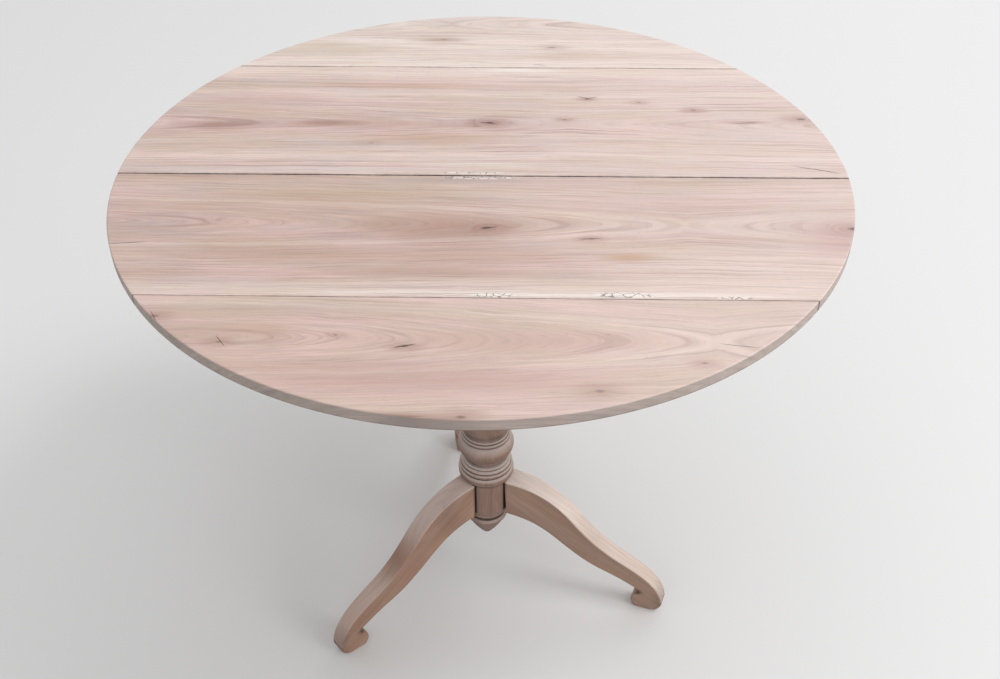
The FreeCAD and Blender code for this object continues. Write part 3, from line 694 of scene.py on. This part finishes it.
# the legs in side view, as (distance from the axis, height)
leg = {
    "angles": column["legAngles"],
    "shoulder": 37.3,
    "shoulderTop": 206.6,
    "shoulderLow": 138.0,
    "widthAtColumn": 35.0,
    "widthAtFoot": 25.0,
    "footRadius": 306.0,
    "upper": [(37.3, 206.6), (74, 203), (127, 178), (170, 135), (220, 98), (266, 73), (290.5, 50),
              (301, 24)],
    "lower": [(37.3, 138), (90, 129.5), (138, 99), (184, 71), (229, 56), (259, 43.5)],
    "toe": ((301, 24), (296.5, 6.5), (283, 0)),
    "roll": ((263, 32.5), (251.5, 16), (259, 0)),
    "soleMiddle": (271, 0),
    "footHeart": (274, 20),
    "edgeRound": 2.4,
    "openJointLeg": 3,
    "openJointGap": 3.2,
    "openJointDrop": 76.0,
    "openJointReach": 12.0,
    "bareShare": (0.3, 0.9, 0.25),
    "barePlace": 178.0,
    "bareLength": 32.0,
    "rollShade": (262, 36),
    "rollShadeReach": 9.0,
    "toeDarkFrom": 285,
    "toeDarkLength": 16,
    "shoulderSteps": 6,
    "runSteps": 150,
    "blendSteps": 14,
    "keyTop": 202.85,
    "keyBottom": 144.0,
    "keyDepth": 4.2,
    "keyNeckRadius": 37.0,
    "keyRoot": 10.85,
    "keyNeck": 7.85,
    "keyRootRadius": 20.15,
}


def legHalf(sign):
    # half of the side view's outline, from the middle of the shoulder round to the middle of the sole: over
    # the top for sign 1, underneath for -1
    middle = np.array([leg["shoulder"], (leg["shoulderTop"] + leg["shoulderLow"]) / 2])
    share = np.linspace(0, 1, leg["shoulderSteps"], endpoint=False)[:, None]
    if sign > 0:
        start = middle + (np.array([leg["shoulder"], leg["shoulderTop"]]) - middle) * share
        run = smoothCurve(leg["upper"], leg["runSteps"], (1, 0), (0.1, -1))
        foot = threePointArc(*leg["toe"], 30)[1:]
    else:
        start = middle + (np.array([leg["shoulder"], leg["shoulderLow"]]) - middle) * share
        run = smoothCurve(leg["lower"], leg["runSteps"], (1, -0.02), (0.94, -0.34))
        notch = np.linspace(leg["lower"][-1], leg["roll"][0], 7)[1:]
        foot = np.concatenate([notch, threePointArc(*leg["roll"], 24)[1:]])
    sole = np.linspace(foot[-1], leg["soleMiddle"], 8)[1:]
    return np.concatenate([start, run, foot, sole])


def legWidth(x):
    # the leg narrows evenly from the column to the foot
    far = (x - leg["shoulder"]) / (leg["footRadius"] - leg["shoulder"])
    return leg["widthAtColumn"] + (leg["widthAtFoot"] - leg["widthAtColumn"]) * far


def legSurface(openJoint, bare):
    # The side view's closed outline is carried across the leg's width: from the spine out over one side,
    # round the edge, across the top, round the other edge and back to the spine.
    upper, lower = legHalf(1), legHalf(-1)
    ends, run, soft = leg["shoulderSteps"], leg["runSteps"], leg["blendSteps"]
    spine = (upper + lower) / 2
    spine[:ends] = spine[ends] + (12.0, 0)
    blend = np.linspace(0, 1, soft)[:, None]
    spine[ends : ends + soft] = spine[0] * (1 - blend) + spine[ends + soft - 1] * blend
    tail = np.linspace(0, 1, len(upper) - ends - run)[:, None]
    spine[ends + run :] = spine[ends + run - 1] * (1 - tail) + np.array(leg["footHeart"]) * tail
    outline = np.concatenate([upper, lower[::-1][1:-1]])
    inner = np.concatenate([spine, spine[::-1][1:-1]])
    inward = inner - outline
    inward /= np.linalg.norm(inward, axis=1, keepdims=True)
    far = (outline[:, 0] - leg["shoulder"]) / (leg["footRadius"] - leg["shoulder"])
    half = legWidth(outline[:, 0]) / 2
    worn = leg["edgeRound"] * (0.75 + 0.45 * far + 0.2 * np.sin(outline[:, 0] / 23))
    worn = np.where(outline[:, 0] < leg["shoulder"] + 0.01, 0.6, worn)
    # each row: its outline in the side view, its distance from the middle plane, and how far it faces up
    rows = []
    for t in (0.0, 0.4, 0.75):
        points = inner + (outline + inward * worn[:, None] - inner) * t
        rows.append((points, legWidth(points[:, 0]) / 2, 0.0))
    for angle in np.linspace(0, math.pi / 2, 7):
        across = half - worn * (1 - math.cos(angle))
        rows.append((outline + inward * (worn * (1 - math.sin(angle)))[:, None], across, math.sin(angle)))
    for t in (0.65, 0.3, 0.0):
        rows.append((outline + inward * (0.25 * t), (half - worn) * t, 1.0))
    sides = [np.stack([p[:, 0], w, p[:, 1]], axis=1) for p, w, _ in rows]
    mirrored = [side * (1, -1, 1) for side in sides[::-1][1:]]
    grid = np.stack(sides + mirrored)
    # the top face is lighter, partly bleach and partly painted light from above, less so towards the foot;
    # the side faces and the underside stay brown
    onTop = np.zeros(len(outline))
    onTop[ends : ends + run] = np.linspace(1, 0.4, run)
    # a stretch of each leg's top face gets less of the bleach and painted light
    onTop *= 1 - bare * np.exp(-(((outline[:, 0] - leg["barePlace"]) / leg["bareLength"]) ** 2))
    upward = [face * onTop for _, _, face in rows]
    bleachAndLight = np.stack(upward + upward[::-1][1:])
    if openJoint:
        # the shoulder leans away from the column towards its lower end
        lean = leg["openJointGap"] * (leg["shoulderTop"] - grid[..., 2]) / leg["openJointDrop"]
        near = np.clip(1 - (grid[..., 0] - leg["shoulder"]) / leg["openJointReach"], 0, 1)
        grid[..., 0] += np.maximum(lean, 0) * near
    wave = 0.25 * np.sin(grid[..., 0] / 31 + 1.0) * np.sin(grid[..., 2] / 27)
    grid[..., 1] += wave * np.sign(grid[..., 1]) * (np.abs(grid[..., 1]) > 5)
    # painted shade beside the joint and in the notch before the roll, and a thin darkening on the toe
    closeToJoint = np.clip(1.2 - (grid[..., 0] - leg["shoulder"]) / 1.8, 0, 1)
    rollX, rollZ = leg["rollShade"]
    fromRoll = np.hypot(grid[..., 0] - rollX, grid[..., 2] - rollZ)
    underRoll = np.clip(1 - fromRoll / leg["rollShadeReach"], 0, 1)
    toe = 0.35 * np.clip((grid[..., 0] - leg["toeDarkFrom"]) / leg["toeDarkLength"], 0, 1)
    grime = np.clip(closeToJoint + underRoll + toe, 0, 1)
    return grid, grime, bleachAndLight


def prismGrid(plan, low, high):
    # a closed prism as a grid: its outline in plan at two heights, shrunk to its middle at each end
    ring = np.array(plan, float)
    middle = ring * 0 + ring.mean(0)
    levels = [(middle, low), (ring, low), (ring, high), (middle, high)]
    return np.stack([np.concatenate([p, np.full((len(p), 1), z)], axis=1) for p, z in levels])


def around(grid, degrees):
    # turns a grid about the Z axis by the cosine and sine of the angle
    a = math.radians(degrees)
    x, y, z = grid[..., 0], grid[..., 1], grid[..., 2]
    return np.stack([x * math.cos(a) - y * math.sin(a), x * math.sin(a) + y * math.cos(a), z], axis=-1)


for n, direction in enumerate(leg["angles"]):
    grid, grime, bleachAndLight = legSurface(n + 1 == leg["openJointLeg"], leg["bareShare"][n])
    # the dovetail key, wider at its root inside the column than at its neck
    inner, neckX, outer = leg["keyRootRadius"], leg["keyNeckRadius"], leg["shoulder"] + leg["keyDepth"]
    root, neck = leg["keyRoot"], leg["keyNeck"]
    plan = [(inner, -root), (neckX, -neck), (outer, -neck), (outer, neck), (neckX, neck), (inner, root)]
    key = prismGrid(plan, leg["keyBottom"], leg["keyTop"])
    turned = math.radians(direction)
    # Sawn from the same stripped walnut: warmer and plainer than the top, brown at the sides, pale above
    # with painted light.
    # The grain slopes down along the leg.
    legWood = {
        **baseWood,
        "centre": (150 * math.cos(turned), 150 * math.sin(turned), 110 + 40 * n),
        "turn": (0, math.radians(30), turned),
        "heartY": 18.0, "archX": 40.0, "archSlope": 3.0, "archDepth": 900.0, "seed": 4.0 + 2.3 * n,
        "ringShare": 0.18,
        "hairShare": 0.25,
        "tints": ("#9c7a64", "#8d6952", "#937769"),
        # leg 3 stands in the key light and gets a paler painted highlight on its top face than the others
        "bleachedAndLit": "#f3e5dc" if n == 2 else "#dccac2",
        "grime": "#24150f",
        "knots": [(-60, 8, 4, 0.8, 0.7), (-35, -6, 3, 0.8, 0.6)] if n == 1 else [],
        "patches": [(32, 4, 46, 30, "#94604f", 0.36), (130, 0, 40, 20, "#8f664f", 0.3)] if n == 1 else [],
    }
    grids = [around(grid, direction), around(key, direction)]
    # the dovetail key is dark all over, as painted shade in the joint
    marks = {"grime": [grime, np.ones(key.shape[:2])], "bleachAndLight": [bleachAndLight, np.zeros(key.shape[:2])]}
    wood = woodMaterial(f"walnutStrippedSawn{n + 1}", legWood)
    meshObject(f"leg_shaped_{n + 1}", grids, "base", [f"leg_{n + 1}"], wood, marks=marks)
print("legs made")


def metalMaterial(name, metal):
    # Rolled or cast metal that has aged: brown tarnish in patches, fine scratches, duller where it is dark.
    material = bpy.data.materials.new(name)
    material.use_nodes = True
    tree = material.node_tree
    tree.nodes.clear()
    place = add(tree, "ShaderNodeTexCoord")
    atPoint = {0: place.outputs["Object"], 3: 1000.0}
    inMm = add(tree, "ShaderNodeVectorMath", {"operation": "SCALE"}, atPoint)
    cloudPlace = add(tree, "ShaderNodeVectorMath", {"operation": "SCALE"}, {0: inMm, 3: 1 / 9})
    cloudLook = {"Vector": cloudPlace, "Scale": 1.0, "Detail": 5.0, "Roughness": 0.6}
    cloud = add(tree, "ShaderNodeTexNoise", None, cloudLook)
    stretched = {0: inMm, 1: (2.6, 0.09, 2.6)}
    scratchPlace = add(tree, "ShaderNodeVectorMath", {"operation": "MULTIPLY"}, stretched)
    scratch = add(tree, "ShaderNodeTexNoise", None, {"Vector": scratchPlace, "Scale": 1.0, "Detail": 3.0})
    tarnish = add(tree, "ShaderNodeMapRange", None, {0: cloud.outputs[0], 1: 0.38, 2: 0.66, 3: 0.0, 4: 1.0})
    shades = {0: tarnish, 6: linear(metal["bright"]), 7: linear(metal["tarnished"])}
    colour = add(tree, "ShaderNodeMix", {"data_type": "RGBA"}, shades).outputs[2]
    dull = {0: cloud.outputs[0], 1: 0.3, 2: 0.7, 3: metal["smooth"], 4: metal["rough"]}
    rough = add(tree, "ShaderNodeMapRange", None, dull)
    relief = {"Strength": 0.3, "Distance": 0.0001, "Height": scratch.outputs[0]}
    bump = add(tree, "ShaderNodeBump", None, relief)
    inputs = {"Base Color": colour, "Metallic": 1.0, "Roughness": rough, "Normal": bump}
    shader = add(tree, "ShaderNodeBsdfPrincipled", None, inputs)
    add(tree, "ShaderNodeOutputMaterial", None, {"Surface": shader})
    return material


# brass gone brown in patches, and dull grey-brown steel
brass = {"bright": "#b8965a", "tarnished": "#6b5330", "smooth": 0.3, "rough": 0.52}
brassAged = metalMaterial("brassRolledAged", brass)
steel = {"bright": "#7d7873", "tarnished": "#4a3a31", "smooth": 0.4, "rough": 0.7}
steelAged = metalMaterial("steelScrewAged", steel)
# walnut and beech that were never stripped: an even dull brown
underWood = {
    **topWood,
    "isTop": False,
    "lightness": 1.0,
    "tints": ("#a3826f", "#957660", "#8f7466"),
    "sapwood": "#bda28d",
    "lateWood": "#6b5141",
    "grime": "#2c211c",
    "paintedLightShare": 0.0,
    "archX": 60.0, "archSlope": 3.0, "archDepth": 1500.0,
}
blockWalnut = {**underWood, "centre": (0, 0, 700), "heartY": 30.0, "seed": 6.1}
blockWood = woodMaterial("walnutPlanedBlock", blockWalnut)
bearerWoods = {}
for name, bearerX, heart in (("left_bearer", -114.0, 40.0), ("right_bearer", 114.0, -30.0)):
    bearerWood = {**underWood, "centre": (bearerX, 0, 710), "turn": (0, 0, math.pi / 2), "heartY": heart}
    bearerWood["seed"] = heart / 4
    bearerWoods[name] = woodMaterial(f"beechPlaned_{name}", bearerWood)
pinBeech = {**underWood, "centre": (0, 76, 711), "heartY": 3.0, "seed": 1.2, "ringWidth": 2.5}
pinBeech["tints"] = ("#7d5d48", "#866650", "#74563f")
pinWood = woodMaterial("beechTurnedPin", pinBeech)
# what each part kept from the frame wears
finishes = {
    "tilt_block": blockWood,
    **bearerWoods,
    "left_pivot_pin": pinWood, "right_pivot_pin": pinWood, "tenon_wedge": pinWood,
    "catch_plate": brassAged, "catch_bolt": brassAged, "catch_knob": brassAged, "catch_keep": brassAged,
    "catch_screws": brassAged, "keep_screws": brassAged, "bearer_screws": steelAged,
}
for name, material in finishes.items():
    slots = nodes[name].data.materials
    slots.clear()
    slots.append(material)
print("carried-over parts finished")

# places in metres, sizes in metres, lamp powers in watts
studio = {
    "floor": "#dcdcdc",
    "overhead": 0.93,
    "horizon": 0.56,
    "keyPlace": (4.1, -0.5, 6.6),
    "keySize": 2.6,
    "keyPower": 160.0,
    "sheenPlace": (1.9, 3.3, 2.6),
    "sheenSize": 2.2,
    "sheenPower": 18.0,
    "sidePlace": (2.8, -1.9, 1.3),
    "sideSize": 1.4,
    "sidePower": 34.0,
}
# a matt pale grey sheet, 18 m wide
floorMesh = bpy.data.meshes.new("floor")
floorMesh.from_pydata([(-9, -9, 0), (9, -9, 0), (9, 9, 0), (-9, 9, 0)], [], [(0, 1, 2, 3)])
floorPiece = bpy.data.objects.new("floor", floorMesh)
bpy.context.scene.collection.objects.link(floorPiece)
floorMaterial = bpy.data.materials.new("paperMatt")
floorMaterial.use_nodes = True
floorShader = floorMaterial.node_tree.nodes["Principled BSDF"]
floorShader.inputs["Base Color"].default_value = linear(studio["floor"])
floorShader.inputs["Roughness"].default_value = 0.9
floorShader.inputs["Specular IOR Level"].default_value = 0.1
floorMesh.materials.append(floorMaterial)

# a pale ceiling that darkens towards the walls
world = bpy.data.worlds.new("studioAir")
bpy.context.scene.world = world
world.use_nodes = True
airTree = world.node_tree
lookedAt = add(airTree, "ShaderNodeTexCoord").outputs["Generated"]
towards = add(airTree, "ShaderNodeSeparateXYZ", None, {0: lookedAt})
brightness = {0: towards.outputs[2], 1: 0.0, 2: 1.0, 3: studio["horizon"], 4: studio["overhead"]}
strength = add(airTree, "ShaderNodeMapRange", None, brightness)
air = airTree.nodes["Background"]
airTree.links.new(strength.outputs[0], air.inputs["Strength"])
air.inputs["Color"].default_value = (1, 1, 1, 1)


def softLight(name, place, size, power):
    # a square lamp turned towards the point half a metre above the middle of the floor
    lamp = bpy.data.lights.new(name, "AREA")
    lamp.shape, lamp.size, lamp.energy = "SQUARE", size, power
    stand = bpy.data.objects.new(name, lamp)
    stand.location = place
    stand.rotation_euler = (Vector((0, 0, 0.5)) - Vector(place)).to_track_quat("-Z", "Y").to_euler()
    bpy.context.scene.collection.objects.link(stand)


softLight("window", studio["keyPlace"], studio["keySize"], studio["keyPower"])
softLight("sheen", studio["sheenPlace"], studio["sheenSize"], studio["sheenPower"])
softLight("side", studio["sidePlace"], studio["sideSize"], studio["sidePower"])
bpy.context.scene.view_settings.view_transform = "Standard"

# the camera's place in metres, its angles in degrees (heading from X, pitch downwards) and its lens in mm
view = {
    "place": (0.0533, -1.3499, 1.5705),
    "heading": 91.3,
    "pitch": 39.18,
    "roll": -0.25,
    "lens": 43.7,
}
heading, pitch, roll = (math.radians(view[k]) for k in ("heading", "pitch", "roll"))
ahead = Vector((math.cos(heading) * math.cos(pitch), math.sin(heading) * math.cos(pitch), -math.sin(pitch)))
side = ahead.cross(Vector((0, 0, 1))).normalized()
upward = side.cross(ahead)
rightHand = side * math.cos(roll) + upward * math.sin(roll)
upHand = upward * math.cos(roll) - side * math.sin(roll)
cameraData = bpy.data.cameras.new("camera")
cameraData.sensor_width = 36.0
cameraData.lens = view["lens"]
camera = bpy.data.objects.new("camera", cameraData)
facing = Matrix((rightHand, upHand, -ahead)).transposed().to_4x4()
camera.matrix_world = Matrix.Translation(view["place"]) @ facing
bpy.context.scene.collection.objects.link(camera)
bpy.context.scene.camera = camera
print("studio set")
